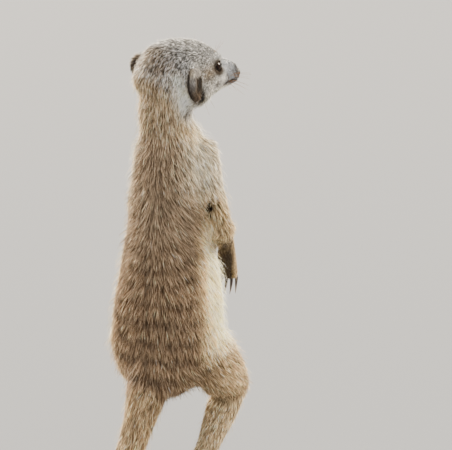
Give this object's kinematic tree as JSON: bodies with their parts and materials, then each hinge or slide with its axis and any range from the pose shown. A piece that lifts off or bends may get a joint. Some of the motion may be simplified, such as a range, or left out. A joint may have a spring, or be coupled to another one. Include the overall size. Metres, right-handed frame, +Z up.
{
  "type": "meerkat figure",
  "caption": "Life-size still figure of a meerkat standing upright, head turned over its right shoulder, forepaws hanging, tail propped on the floor behind.",
  "frame": {"origin": "on the floor, under the middle of the model's bounding box", "axes": "+Z up from the floor to the crown, -Y the way the chest faces, +X towards the animal's left"},
  "size_m": [0.1144, 0.2406, 0.2812],
  "materials": {
    "coat": "matte",
    "head_coat": "matte",
    "limb_coat": "matte",
    "ear_coat": "matte",
    "eye": "polished",
    "nose_leather": "satin",
    "claw": "satin"
  },
  "bodies": {
    "root": {"head": "head_coat", "neck": "head_coat", "trunk": "coat", "tail_root": "coat", "tail_middle": "coat", "tail_tip": "coat", "upper_arm_left": "limb_coat", "forearm_left": "limb_coat", "hand_left": "limb_coat", "thigh_left": "limb_coat", "shank_left": "limb_coat", "foot_left": "limb_coat", "ear_left": "ear_coat", "eye_left": "eye", "claw_hand_left_1": "claw", "claw_foot_left_1": "claw", "claw_hand_left_2": "claw", "claw_foot_left_2": "claw", "claw_hand_left_3": "claw", "claw_foot_left_3": "claw", "claw_hand_left_4": "claw", "claw_foot_left_4": "claw", "upper_arm_right": "limb_coat", "forearm_right": "limb_coat", "hand_right": "limb_coat", "thigh_right": "limb_coat", "shank_right": "limb_coat", "foot_right": "limb_coat", "ear_right": "ear_coat", "eye_right": "eye", "claw_hand_right_1": "claw", "claw_foot_right_1": "claw", "claw_hand_right_2": "claw", "claw_foot_right_2": "claw", "claw_hand_right_3": "claw", "claw_foot_right_3": "claw", "claw_hand_right_4": "claw", "claw_foot_right_4": "claw", "nose": "nose_leather"}
  },
  "joints": []
}
